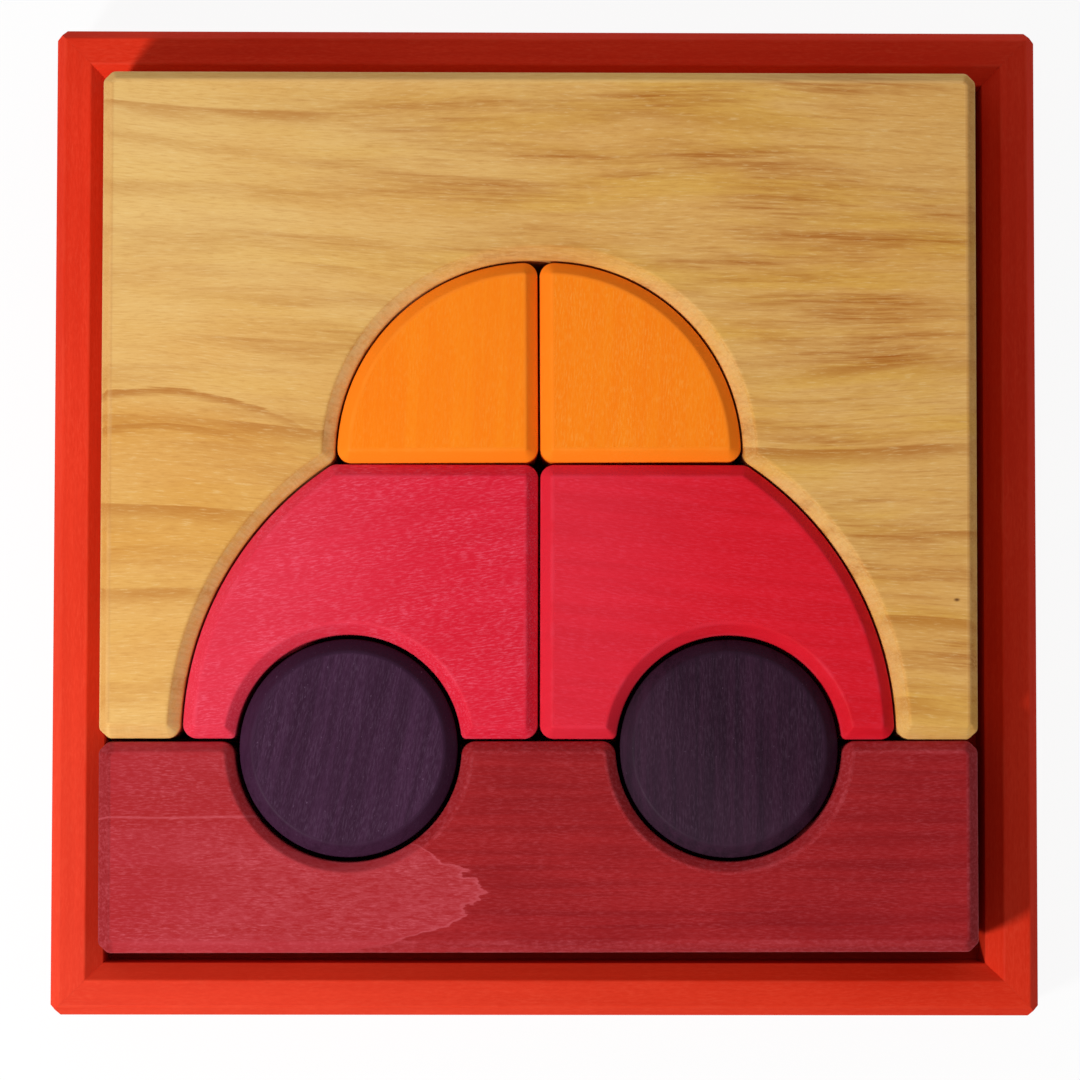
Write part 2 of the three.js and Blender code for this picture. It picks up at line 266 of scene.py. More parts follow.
def arc(x, y, radius, start, end, count=CORNER_STEPS):
    """Points of an arc: its centre plus radius times (cosine, sine) of evenly spaced angles.

    The angles lie half a step inside both ends, so that arcs that touch share no point.
    """
    angle = start + (end - start) * (np.arange(count) + 0.5) / count
    return np.stack(np.broadcast_arrays(x + radius * np.cos(angle), y + radius * np.sin(angle)), axis=-1)


def softened(corners, reach, guard, count):
    """Closed polygons with each corner sanded over.

    A corner becomes a parabola that leaves one side and joins the next one, each a
    reach away from the corner, between two guard points further out on the sides.
    """
    before = np.roll(corners, 1, axis=-2) - corners
    after = np.roll(corners, -1, axis=-2) - corners
    before = (before / np.linalg.norm(before, axis=-1, keepdims=True))[..., None, :]
    after = (after / np.linalg.norm(after, axis=-1, keepdims=True))[..., None, :]
    corner = corners[..., None, :]
    step = np.linspace(0.0, 1.0, count)[:, None]
    curve = corner + reach * ((1.0 - step) ** 2 * before + step**2 * after)
    return np.concatenate((corner + guard * before, curve, corner + guard * after), axis=-2)


def rim(chamfer, sizes):
    """Section of a block's rim, from its lower face round to its upper face.

    A wall between two 45 degree chamfers, its four edges sanded over. Gives how far in
    from the wall each point lies, its height above the block's foot, and 1 on an edge.
    """
    deep = 3 * chamfer  # a point on each flat face, only to give the face's edge its direction
    high = sizes.thickness
    lower = (deep, 0.0), (chamfer, 0.0), (0.0, chamfer)
    upper = (0.0, high - chamfer), (chamfer, high), (deep, high)
    corners = np.array(lower + upper)
    section = softened(corners, sizes.softness, 2 * sizes.softness, EDGE_STEPS)[1:5]
    edge = np.ones(section.shape[:2])
    edge[:, (0, -1)] = 0.0
    inset, height = section.reshape(-1, 2).T
    return inset[:, None], height[:, None], edge.reshape(-1, 1)


def joined(*parts):
    """One outline from the parts that follow each other along it."""
    return np.concatenate(parts, axis=1)


def mirrored(outline):
    """An outline turned over left to right, still anticlockwise."""
    return outline[:, ::-1] * (-1.0, 1.0)


def corner_radius(inset, sizes):
    """Radius of a rounded corner where the outline has shrunk by the inset, never quite sharp."""
    return np.maximum(sizes.round_corner - inset, LEAST_RADIUS)


def reach_along(distance, offset):
    """How far along a line a centre lies, at a distance from a point that is offset from the line."""
    return np.sqrt(distance**2 - offset**2)


def board_corners(half_x, half_y, inset_x, inset_y, sizes):
    """A board's four cut corners, anticlockwise from the lower right, each sanded over.

    Each cut is a line at 45 degrees. It moves inwards by the mean of the two sides' insets.
    Sanding reaches a third of the corner's lost side along the cut and along each side.
    """
    x = half_x - inset_x
    y = half_y - inset_y
    cut = half_x + half_y - sizes.cut_corner - math.sqrt(0.5) * (inset_x + inset_y)
    right = (cut - y, -y), (x, x - cut), (x, cut - x), (cut - y, y)
    left = [(-across, along) for across, along in reversed(right)]
    points = np.stack([np.concatenate(pair, axis=-1) for pair in (*right, *left)], axis=-2)
    reach = ((x + y - cut) / 3)[..., None, None]
    soft = softened(points, reach, 0.0, EDGE_STEPS)[..., 1:-1, :]
    return np.split(soft.reshape(len(points), -1, 2), 4, axis=1)


def roof_outline(inset, sizes):
    """A quarter disc about its arc's centre: two straight sides, an arc and three rounded corners."""
    corner = corner_radius(inset, sizes)
    radius = sizes.roof_radius - inset
    side = sizes.roof_radius - sizes.roof_side + inset + corner
    reach = reach_along(radius - corner, side)
    start = np.arctan2(side, reach)
    return joined(
        arc(side, side, corner, -HALF, -QUARTER),
        arc(reach, side, corner, -QUARTER, start),
        arc(0.0, 0.0, radius, start, QUARTER - start, ARC_STEPS),
        arc(side, reach, corner, QUARTER - start, HALF),
    )


def body_arc_x(sizes):
    """Where the centre of the right body block's outer arc lies, right of the seam's middle."""
    return sizes.fit_gap / 2 + sizes.body_length - sizes.body_radius


def nest_radius(sizes):
    """Radius of the arches and nests round the wheels."""
    return sizes.wheel_diameter / 2 + sizes.wheel_gap


def body_outline(inset, sizes):
    """The right body block: lower edge with a wheel arch, outer arc, upper edge and seam side."""
    corner = corner_radius(inset, sizes)
    foot = FOOT_SHARE * corner
    radius = sizes.body_radius - inset
    nest = nest_radius(sizes) + inset
    wheel_x = sizes.wheel_spacing / 2
    arc_x = body_arc_x(sizes)
    seam = sizes.fit_gap / 2 + inset + corner
    low = inset + corner
    high = sizes.body_height - inset - corner
    foot_drop = inset + foot + sizes.wheel_drop
    foot_reach = reach_along(nest + foot, foot_drop)
    foot_turn = np.arctan2(foot_drop, foot_reach)
    low_reach = reach_along(radius - corner, low)
    high_reach = reach_along(radius - corner, high)
    start = np.arctan2(low, low_reach)
    end = np.arctan2(high, high_reach)
    return joined(
        arc(seam, low, corner, -HALF, -QUARTER),
        arc(wheel_x - foot_reach, inset + foot, foot, -QUARTER, -foot_turn),
        arc(wheel_x, -sizes.wheel_drop, nest, HALF - foot_turn, foot_turn, ARC_STEPS),
        arc(wheel_x + foot_reach, inset + foot, foot, HALF + foot_turn, 3 * QUARTER),
        arc(arc_x + low_reach, low, corner, -QUARTER, start),
        arc(arc_x, 0.0, radius, start, end, ARC_STEPS),
        arc(arc_x + high_reach, high, corner, end, QUARTER),
        arc(seam, high, corner, QUARTER, HALF),
    )


def road_outline(inset, sizes):
    """The road block about its middle: a board with cut corners and two wheel nests above."""
    half_y = sizes.road_height / 2
    corner = corner_radius(inset, sizes)
    nest = nest_radius(sizes) + inset
    nest_y = half_y + sizes.fit_gap - sizes.wheel_drop
    lip = half_y - inset - corner
    reach = reach_along(nest + corner, lip - nest_y)
    turn = np.arctan2(lip - nest_y, reach)
    corners = board_corners(sizes.set_width / 2, half_y, inset, inset, sizes)
    low_right, high_right, high_left, low_left = corners

    def wheel_nest(x):
        """Lip, nest and lip again, from right to left."""
        return (
            arc(x + reach, lip, corner, QUARTER, HALF + turn),
            arc(x, nest_y, nest, turn, -HALF - turn, ARC_STEPS),
            arc(x - reach, lip, corner, -turn, QUARTER),
        )

    wheel_x = sizes.wheel_spacing / 2
    nests = *wheel_nest(wheel_x), *wheel_nest(-wheel_x)
    return joined(low_right, high_right, *nests, high_left, low_left)


def sky_outline(inset, opening_inset, sizes):
    """The sky block from the car's lower edge: a board round the car-shaped opening.

    The opening is a body arc and a roof arc on each side, joined by a rounded shoulder
    that touches both. Also gives 1 for each point that belongs to the opening.
    """
    half_y = sizes.sky_height / 2
    corner = corner_radius(opening_inset, sizes)
    body = sizes.body_radius + sizes.fit_gap + opening_inset
    roof = sizes.roof_radius + sizes.fit_gap + opening_inset
    body_x = body_arc_x(sizes)
    overhang = sizes.roof_side - sizes.roof_radius
    roof_x = sizes.fit_gap / 2 + overhang
    roof_y = sizes.body_height + sizes.fit_gap + overhang

    # The shoulder's centre lies a body radius and a corner from one arc's centre, and a
    # roof radius and a corner from the other's: along the line between them, then square to it.
    apart_x = roof_x - body_x
    apart = math.hypot(apart_x, roof_y)
    along = ((body + corner) ** 2 - (roof + corner) ** 2 + apart**2) / (2 * apart)
    square = reach_along(body + corner, along)
    shoulder_x = body_x + (along * apart_x + square * roof_y) / apart
    shoulder_y = (along * roof_y - square * apart_x) / apart
    body_end = np.arctan2(shoulder_y, shoulder_x - body_x)
    roof_start = np.arctan2(shoulder_y - roof_y, shoulder_x - roof_x)

    leg = opening_inset + corner
    leg_reach = reach_along(body + corner, leg)
    leg_turn = np.arctan2(leg, leg_reach)
    right = joined(
        arc(roof_x, roof_y, roof, QUARTER, roof_start, ARC_STEPS),
        arc(shoulder_x, shoulder_y, corner, HALF + roof_start, HALF + body_end),
        arc(body_x, 0.0, body, body_end, leg_turn, ARC_STEPS),
        arc(body_x + leg_reach, leg, corner, HALF + leg_turn, 3 * QUARTER),
    )
    left = mirrored(right)
    half_x = sizes.set_width / 2
    upper = board_corners(half_x, half_y, inset, inset, sizes)
    lower = board_corners(half_x, half_y, inset, opening_inset, sizes)
    board = joined(lower[0], upper[1], upper[2], lower[3]) + (0.0, half_y)
    outline = joined(board, left, right)
    cut_points = lower[0].shape[1]
    opening = np.zeros(outline.shape[1])
    opening[: cut_points // 2] = 1.0
    opening[board.shape[1] - cut_points // 2 :] = 1.0
    return outline, opening


def placed(outline, x, y, turn=0.0):
    """An outline turned about its origin, then moved from the car's origin into the tray."""
    turning = np.array(((math.cos(turn), math.sin(turn)), (-math.sin(turn), math.cos(turn))))
    return outline @ turning + (CAR_X + x, CAR_Y + y)


# Meshes


def put(name, data):
    """A new object in the scene."""
    made = bpy.data.objects.new(name, data)
    bpy.context.scene.collection.objects.link(made)
    return made


def finished_piece(mesh, material, body, slot, *nodes):
    """Puts a mesh in the scene as a piece that stands for CAD nodes and moves with a body."""
    mesh.materials.append(material)
    if mesh.validate():
        raise RuntimeError(f"{mesh.name}: the mesh had faults")
    piece = put(mesh.name, mesh)
    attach(piece, body)
    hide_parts(*nodes)


def point_values(mesh, name, values):
    """Keeps one number for each point of a mesh, for its material."""
    kept = mesh.attributes.new(name, "FLOAT", "POINT")
    kept.data.foreach_set("value", np.ascontiguousarray(values, dtype=np.float32).ravel())


def grid_mesh(name, grid, caps):
    """Smooth mesh of a grid whose rows close on themselves, its first and last row closed by flat caps.

    A cap is given by the columns that it joins. The edges along both rows are sharp.
    """
    rows, columns = grid.shape[:2]
    index = np.arange(rows * columns).reshape(rows, columns)
    beside = np.roll(index, -1, axis=1)
    quads = np.stack((index[:-1], beside[:-1], beside[1:], index[1:]), axis=-1).reshape(-1, 4)
    flat = [index[0, cap[::-1]].tolist() for cap in caps] + [index[-1, cap].tolist() for cap in caps]
    mesh = bpy.data.meshes.new(name)
    mesh.from_pydata(grid.reshape(-1, 3).tolist(), [], quads.tolist() + flat)
    mesh.polygons.foreach_set("use_smooth", np.arange(len(mesh.polygons)) < len(quads))
    ends = np.empty(2 * len(mesh.edges), dtype=np.int32)
    mesh.edges.foreach_get("vertices", ends)
    row = ends.reshape(-1, 2) // columns
    sharp = (row[:, 0] == row[:, 1]) & ((row[:, 0] == 0) | (row[:, 0] == rows - 1))
    mesh.edges.foreach_set("use_edge_sharp", sharp)
    return mesh


def block_mesh(name, outline, height, edge, grain, opening=0.0):
    """Mesh of a block: one row of the grid for each point of the rim, one column along the outline.

    The columns start at the shortest step, where the saw's run along the outline jumps from
    its end back to zero. A point of the rim shows end grain by the cosine between the
    outline's normal and the grain.
    """
    rows, columns = spread = outline.shape[:2]
    wall = outline[rows // 2]
    steps = np.linalg.norm(np.roll(wall, -1, axis=0) - wall, axis=1)
    start = -(int(np.argmin(steps)) + 1)
    steps = np.roll(steps, start)
    heights = np.broadcast_to(height, spread)[..., None] + BLOCK_FOOT
    grid = np.roll(np.concatenate((outline, heights), axis=2), start, axis=1)
    along = np.roll(wall, -1, axis=0) - np.roll(wall, 1, axis=0)
    end = along @ (-math.sin(grain), math.cos(grain)) / np.linalg.norm(along, axis=1)
    sawn = np.ones((rows, 1))
    sawn[[0, -1]] = 0.0
    mesh = grid_mesh(name, grid, [np.arange(columns)])
    for kept, values in (
        ("edge", edge),
        ("sawn", sawn),
        ("opening", sawn * np.roll(np.broadcast_to(opening, spread), start, axis=1)),
        ("run", np.cumsum(steps) - steps),
        ("end", sawn * np.roll(np.abs(end), start)),
    ):
        point_values(mesh, kept, np.broadcast_to(values, spread))
    return mesh


def rail_section(tray):
    """Section of a rail as depth from its outer face and height, anticlockwise, edges sanded over.

    The two extra points on the outer chamfers are where the tray's cut corner meets the mitre.
    Gives the points, 1 on each edge, and the columns of those two points.
    """
    width, height = tray.rail_width, tray.rail_height
    chamfer, bevel = tray.rail_chamfer, tray.rail_bevel
    tip = tray.tray_corner / 2
    floor = width - tray.groove_depth
    outer = (tip, height - chamfer + tip), (0.0, height - chamfer), (0.0, chamfer), (tip, chamfer - tip)
    low = (chamfer, 0.0), (width, 0.0), (width, tray.groove_low), (floor, tray.groove_low)
    high = (floor, tray.groove_high), (width, tray.groove_high), (width, height - bevel)
    top = (width - bevel, height), (chamfer, height)
    corners = np.array(low + high + top + outer)
    section = softened(corners, tray.softness, 1.25 * tray.softness, EDGE_STEPS)
    edge = np.ones(section.shape[:2])
    edge[:, (0, -1)] = 0.0
    tips = np.flatnonzero(corners[:, 0] == tip)
    edge[tips] = 0.0
    columns = tips * section.shape[1] + 1 + EDGE_STEPS // 2
    return section.reshape(-1, 2), edge.ravel(), columns


def rail_mesh(name, half, outer, turns, tray):
    """Mesh of a rail: its section carried from one end to the other, then turned round the tray.

    A point that lies deeper than the outer face is drawn back by as much, which makes the
    mitre. Nearer the face it is drawn back by the cut corner instead.
    """
    section, edge, (high_tip, low_tip) = rail_section(tray)
    depth, height = section.T
    reach = half - np.maximum(depth, tray.tray_corner - depth) - tray.glue_line / 2
    along = np.stack((-reach, reach))
    depths, heights = np.broadcast_to(depth, along.shape), np.broadcast_to(height, along.shape)
    turn = turns * QUARTER
    cosine, sine = round(math.cos(turn)), round(math.sin(turn))
    across = depths - outer
    grid = np.stack((cosine * along - sine * across, sine * along + cosine * across, heights), axis=-1)
    corner_face = np.arange(high_tip, low_tip + 1)
    mitre_face = np.concatenate((np.arange(low_tip, len(depth)), np.arange(high_tip + 1)))
    mesh = grid_mesh(name, grid, [corner_face, mitre_face])
    point_values(mesh, "edge", np.broadcast_to(edge, along.shape))
    grain = np.stack((along + turns * outer, depths, heights), axis=-1)
    kept = mesh.attributes.new("grain", "FLOAT_VECTOR", "POINT")
    kept.data.foreach_set("vector", grain.astype(np.float32).ravel())
    return mesh


# Finishes


class Value:
    """A number that a finish works out at each point, for sums with other numbers."""

    def __init__(self, finish, socket):
        self.finish = finish
        self.socket = socket

    def __add__(self, other):
        return self.finish.sum("ADD", self, other)

    def __sub__(self, other):
        return self.finish.sum("SUBTRACT", self, other)

    def __rsub__(self, other):
        return self.finish.sum("SUBTRACT", other, self)

    def __mul__(self, other):
        return self.finish.sum("MULTIPLY", self, other)

    def __abs__(self):
        return self.finish.sum("ABSOLUTE", self, 0.0)

    def most(self, other):
        """The larger of two numbers."""
        return self.finish.sum("MAXIMUM", self, other)

    def span(self, low, high, start=0.0, end=1.0):
        """Goes smoothly from start to end while this number goes from low to high."""
        sockets = {"Value": self, "From Min": low, "From Max": high, "To Min": start, "To Max": end}
        made = self.finish.add("MapRange", sockets, interpolation_type="SMOOTHSTEP")
        return Value(self.finish, made.outputs[0])


def add_node(tree, kind, sockets=None, **settings):
    """A new node with its settings, its sockets given as numbers or linked to other sockets."""
    made = tree.nodes.new("ShaderNode" + kind)
    for name, value in settings.items():
        setattr(made, name, value)
    for name, value in (sockets or {}).items():
        feed(tree, made.inputs[name], value)
    return made


def feed(tree, socket, value):
    """Links a socket to another one, or sets it to a number or colour."""
    if isinstance(value, Value):
        value = value.socket
    if isinstance(value, bpy.types.NodeSocket):
        tree.links.new(value, socket)
    else:
        socket.default_value = value


def seen_rays(tree):
    """1 for what the camera sees, straight, in gloss or through glass."""
    path = add_node(tree, "LightPath").outputs
    seen = path["Is Camera Ray"]
    for kind in ("Is Glossy Ray", "Is Transmission Ray"):
        seen = add_node(tree, "Math", {0: seen, 1: path[kind]}, operation="MAXIMUM").outputs[0]
    return seen


class Finish:
    """A finish made of nodes, while it is put together.

    Its grain lies along the object's own axes, or follows a vector that the mesh keeps.
    """

    def __init__(self, name, follows=None):
        self.material = bpy.data.materials.new(name)
        self.material.use_nodes = True
        self.tree = self.material.node_tree
        self.tree.nodes.clear()
        self.surface = self.add("BsdfPrincipled", {"Specular IOR Level": WAX_SHINE})
        self.output = self.add("OutputMaterial", {"Surface": self.surface.outputs["BSDF"]})
        self.object_place = self.add("TexCoord").outputs["Object"]
        self.place = self.object_place
        if follows:
            self.place = self.add("Attribute", attribute_name=follows).outputs["Vector"]
        self.colour = None

    def add(self, kind, sockets=None, **settings):
        """A new node of this finish."""
        return add_node(self.tree, kind, sockets, **settings)

    def own(self, name):
        """A number that the mesh keeps for each point."""
        return Value(self, self.add("Attribute", attribute_name=name).outputs["Fac"])

    def scaled(self, place, size, turn=0.0, centre=(0.0, 0.0, 0.0)):
        """A place seen from a centre, turned about the upright and divided by a size in millimetres."""
        lengths = [part * MM for part in size]
        sockets = {"Vector": place, "Location": centre, "Rotation": (0.0, 0.0, turn), "Scale": lengths}
        return self.add("Mapping", sockets, vector_type="TEXTURE").outputs[0]

    def axes(self, place):
        """The three numbers of a place."""
        return [Value(self, part) for part in self.add("SeparateXYZ", {"Vector": place}).outputs]

    def from_car(self, x=0.0, y=0.0):
        """Millimetres right of and above a point, itself given from the middle of the car's lower edge."""
        centre = CAR_X + x, CAR_Y + y, 0.0
        return self.axes(self.scaled(self.object_place, (1, 1, 1), centre=centre))[:2]

    def grain(self, size, turn=0.0, detail=3.0, roughness=0.55):
        """Noise whose grains have that length, width and depth in millimetres."""
        place = self.scaled(self.place, size, turn)
        sockets = {"Vector": place, "Scale": 1.0, "Detail": detail, "Roughness": roughness}
        return Value(self, self.add("TexNoise", sockets).outputs["Fac"])

    def sum(self, operation, first, second):
        """One sum with two numbers, such as MULTIPLY or MAXIMUM."""
        return Value(self, self.add("Math", {0: first, 1: second}, operation=operation).outputs[0])

    def blend(self, share, first, second):
        """The first colour, with a share of the second mixed in."""
        mixed = {0: share}
        for name, value in ((6, first), (7, second)):
            mixed[name] = value if isinstance(value, bpy.types.NodeSocket) else (*value, 1.0)
        return self.add("Mix", mixed, data_type="RGBA").outputs[2]

    def tint(self, share, colour):
        """Mixes a share of a colour into the finish's own colour."""
        self.colour = self.blend(share, self.colour, colour)

    def link(self, name, value):
        """Feeds a socket of the surface."""
        feed(self.tree, self.surface.inputs[name], value)

    def relief(self, height, depth):
        """Faint bump of that depth in metres."""
        sockets = {"Height": height, "Distance": depth, "Strength": RELIEF}
        self.link("Normal", self.add("Bump", sockets).outputs["Normal"])


def stain_tones(colours, name):
    """A stain's three tones: plain, where the wood drank more, and where it is rubbed thin."""
    return [getattr(colours, name + kind) for kind in ("", "_deep", "_pale")]


def stained_wood(
    finish, tones, turn=0.0, flecks=0.3, streaks=0.6, specks=0.0, matt=0.0,
    wear=0.12, rims=0.0, sanding=0.7, thirst=0.6, rubbed_and_lit=None,
):
    """Dyed and waxed wood: streaks and clouds of deeper dye, short pale fibres, rubbed edges.

    On the chamfers and walls, sanding takes away a share of the fibres, and rims is the share
    of the deeper tone; the wheels pass rims that grow into painted shade. Thirst is the share of
    it that end grain shows. Rubbed is a further share of the paler tone, for rubbed wear and, from
    the tray, the bodies and the right wheel, for painted sheen and painted light towards the lamp.
    Gives the material.
    """
    stain, deep, pale = tones
    bands = finish.grain((70, 2.6, 2.6), turn, 5.0, 0.65).span(0.32, 0.68)
    clouds = finish.grain((42, 20, 24), turn).span(0.3, 0.7, 0.0, 1.0 - streaks)
    fibres = finish.grain((1.9, 0.36, 0.36), turn, roughness=0.7)
    patches = finish.grain((9, 5, 5), turn)
    sawn = finish.own("sawn")
    flat = 1.0 - sawn * sanding

    drunk = (bands * streaks + clouds).most(finish.own("end") * thirst)
    if rims:
        drunk = drunk.most(sawn * rims)
    thin_stain_and_light = fibres.span(0.44, 0.72, 0.0, flecks) * flat * patches.span(0.3, 0.7, 0.45, 1.0)
    thin_stain_and_light = thin_stain_and_light.most(finish.own("edge") * patches.span(0.38, 0.66, 0.0, wear))
    # The rubbed share: rubbed wear, and painted sheen and painted light from the callers that pass a side
    # towards the lamp.
    if rubbed_and_lit:
        thin_stain_and_light = thin_stain_and_light + rubbed_and_lit
    if specks:
        dust = finish.grain((0.9, 0.5, 0.5), turn, 1.0)
        thin_stain_and_light = thin_stain_and_light.most(dust.span(0.72, 0.8, 0.0, specks))
    finish.colour = stain
    finish.tint(drunk, deep)
    finish.tint(fibres.span(0.5, 0.3, 0.0, 0.5) * flat, deep)
    finish.tint(thin_stain_and_light, pale)
    finish.link("Base Color", finish.colour)
    finish.link("Roughness", fibres.span(0.3, 0.7, 0.46 + matt, 0.6 + matt))
    finish.relief(fibres, 0.06 * MM)
    return finish.material


def road_wood(colours):
    """Dark red stain on wood with one flame-shaped growth ring.

    The ring is a parabola that points to the right: a point lies past it by its distance right
    of the tip, plus the bend times the squared height over the tip, plus a wobble. Inside it, and
    at the road's left end, the wood is paler and more flecked; at the left end, nearest the lamp,
    this is partly paler wood and partly painted sheen. The ring is a thin pale line that fades away
    from its tip, and a level line runs above it at the left. The ends are dyed deeper.
    """
    finish = Finish("dark_red_road_stain")
    x, y = finish.from_car()
    sawn = finish.own("sawn")
    wobble = finish.grain((9, 3.6, 4), 0.0, 4.0, 0.5)
    drift = finish.grain((60, 30, 30), 0.0, 1.0)
    dust = finish.grain((1.4, 0.7, 0.7), 0.0, 4.0, 0.7)
    dapple = finish.grain((4, 1.3, 2), 0.0, 4.0, 0.7)

    rise = y - FLAME_TIP[1]
    past = x - FLAME_TIP[0] + rise * rise * FLAME_BEND + wobble.span(0.2, 0.8, -3.0, 3.0)
    near = abs(rise).span(7.0, 17.0, 1.0, 0.0)
    # Partly painted sheen: the road's left end, nearest the lamp, counts as paler inside wood.
    inside = past.span(1.5, -1.5).most(x.span(*PALE_SHEEN_END))
    ring = past.span(-1.6, -0.3) * near * past.span(0.1, 0.5, 0.7, 0.0)
    level = abs(rise + drift.span(0.2, 0.8, -2.0, 2.0) - LEVEL_RISE)
    ring = ring.most(level.span(0.45, 0.1, 0.0, 0.6) * x.span(*LEVEL_END))
    heart = past.span(-75.0, -45.0) * inside * near * dapple.span(0.35, 0.65, 0.0, 0.22)
    paler = (sawn * dust.span(0.4, 0.75, 0.02, 0.3)).most(heart).most(ring * 0.6)

    ends = sawn * abs(x).span(*ROAD_ENDS)
    stain = finish.blend(inside, colours.road_dark, colours.road)
    deep = finish.blend(inside, colours.road_deep, colours.road_dark)
    tones = [finish.blend(ends, tone, colours.road_deep) for tone in (stain, deep)]
    flecks = inside.span(0.0, 1.0, 0.22, 0.5)
    return stained_wood(finish, (*tones, colours.road_pale), 0.0, flecks, rubbed_and_lit=paler)


def oiled_sky_wood(colours):
    """Oiled wood with lengthwise figure: brown clouds made of streaks, growth lines, fine fibres.

    All of it follows one slow wave across the board. A growth line is the fraction of the waved
    height: it darkens towards its end and stops short, as late wood does. At the lower left the
    rings run out of the board in a hill of two parabolas, each darkest on its upper edge. To the
    right the wood is browner and yellower. The opening's rim shows sawn wood, most of it on end
    grain, paler than the face partly as painted light on its slope: more of it at the upper left,
    which faces away from the lamp, and less on the right, which faces it, as painted shade. Of the
    outside rims the ends are darker as end grain, the left ones darker still as painted shade
    towards the lamp, and the long sides paler towards the right as painted light.
    """
    finish = Finish("oiled_sky_wood")
    lie = math.radians(-1.5)
    x, y = finish.from_car()
    knot = SKY_HIGH[0] - KNOT_INSET[0], SKY_HIGH[1] - KNOT_INSET[1], SKY_HIGH[2]
    to_knot = {0: finish.scaled(finish.place, KNOT_SIZE, centre=knot)}
    knot_away = Value(finish, finish.add("VectorMath", to_knot, operation="LENGTH").outputs["Value"])

    slow = finish.grain((130, 50, 60), lie, 2.0, 0.4)
    lift = finish.add("CombineXYZ", {"Y": slow.span(0.2, 0.8, -3.2 * MM, 3.2 * MM)}).outputs[0]
    finish.place = finish.add("VectorMath", {0: finish.place, 1: lift}, operation="ADD").outputs[0]
    clouds = finish.grain((60, 6, 9), lie, 4.0, 0.6)
    streaks = finish.grain((24, 0.75, 1.1), lie, 5.0, 0.65)
    fibres = finish.grain((3.2, 0.34, 0.34), lie, roughness=0.65)
    warmth = finish.grain((45, 20, 30), lie, 2.0)
    fading = finish.grain((70, 10, 12), lie, 2.0)
    zones = finish.grain((55, 9, 12), lie)
    mottle = finish.grain((3.5, 1.4, 1.4), lie, 4.0, 0.65)

    height = finish.axes(finish.scaled(finish.place, (LINE_STEP,) * 3, lie))[1]
    part = finish.sum("FRACT", height + streaks * 0.06, 0.0)
    line = part.span(0.7, 0.965) * part.span(0.965, 0.985, 1.0, 0.0) * fading.span(0.4, 0.6, 0.0, 0.75)

    across = x.span(-128.4, 91.6) * y.span(30.0, 115.0, 0.72, 1.0)
    figure = across.span(0.0, 1.0, 0.45, 1.3)
    brown = clouds.span(0.44, 0.7) * figure * streaks.span(0.3, 0.7, 0.2, 0.78)
    brown = brown.most(clouds.span(0.46, 0.72, 0.0, 0.3))
    brown = brown.most(streaks.span(0.48, 0.74, 0.0, 0.3) * figure)
    brown = brown.most(line * across.span(0.0, 1.0, 0.75, 1.0))
    aside = x - HILL_TOP[0]
    above = y - HILL_TOP[1] + aside * aside * HILL_BEND + streaks.span(0.2, 0.8, -0.6, 0.6)
    for drop, fade_from, fade_to, share in HILL_RINGS:
        rise = above + drop
        ring = rise.span(-2.6, -0.3) * rise.span(0.0, 0.5, 1.0, 0.0)
        brown = brown.most(ring * aside.span(fade_from, fade_to, share, 0.0))
    under_hill = above.span(0.0, -8.0) * above.span(-66.0, -30.0, 0.0, 0.38)
    low_left = y.span(115.0, 75.0, 0.0, 0.34) * (1.0 - across)
    deeper = warmth.span(0.3, 0.7, 0.0, 0.35) + across * 0.52 + under_hill + low_left
    finish.colour = colours.sky
    finish.tint(deeper, colours.sky_warm)
    finish.tint(zones.span(0.42, 0.64, 0.0, 0.52) * across.span(0.0, 1.0, 0.2, 1.0), colours.sky_gold)
    finish.tint(brown, colours.sky_ring)
    finish.tint(fibres.span(0.48, 0.72, 0.0, 0.24), colours.sky_ring)
    finish.tint(fibres.span(0.46, 0.28, 0.0, 0.35), colours.sky_pale)
    finish.tint(knot_away.span(1.0, 0.1, 0.0, 0.9), colours.sky_knot)

    end, edge, opening = finish.own("end"), finish.own("edge"), finish.own("opening")
    saw = {"W": finish.own("run") * (1.0 / SAW_STEP), "Scale": 1.0, "Detail": 1.0}
    marks = Value(finish, finish.add("TexNoise", saw, noise_dimensions="1D").outputs["Fac"])
    sawn = finish.blend(marks.span(0.4, 0.7, 0.0, 0.26), colours.sky_sawn, colours.sky_ring)
    # Painted light: the opening's upper left rim, which faces away from the lamp, is mixed paler.
    sawn = finish.blend(y.span(55.0, 75.0) * x.span(21.6, -18.4, 0.0, 0.3), sawn, colours.sky_pale)
    # Painted shade: on the right, which faces the lamp, the rim takes only half the pale sawn tone.
    bare_wood_and_shade = end.span(0.2, 0.9, 0.25, 0.75) * mottle.span(0.35, 0.65, 0.3, 1.2) * x.span(-10.0, 45.0, 1.0, 0.5)
    finish.tint((opening - edge) * bare_wood_and_shade, sawn)
    outside = finish.own("sawn") - opening
    # End grain darker, and painted shade on the outside rims towards the left, where the lamp lights them
    # most.
    end_grain_and_shade = end.span(0.0, 1.0, 0.0, 0.3).most(x.span(-58.4, 41.6, 0.16, 0.0))
    finish.tint(outside * end_grain_and_shade, colours.sky_ring)
    # Painted light: the long outside rims are paler towards the right, away from the lamp.
    right_rim_light = end.span(0.0, 1.0, 1.0, 0.0) * x.span(-58.4, 41.6, 0.0, 0.2)
    finish.tint(outside * right_rim_light, colours.sky_pale)
    finish.tint((edge - opening) * warmth.span(0.3, 0.7, 0.02, 0.2), colours.sky_pale)
    finish.link("Base Color", finish.colour)
    finish.link("Roughness", streaks.span(0.3, 0.7, 0.44, 0.58))
    finish.relief(streaks + fibres, 0.05 * MM)
    return finish.material


# Operators


class Undoable:
    """Lets the step of every operator be taken back."""

    bl_options = {"REGISTER", "UNDO"}


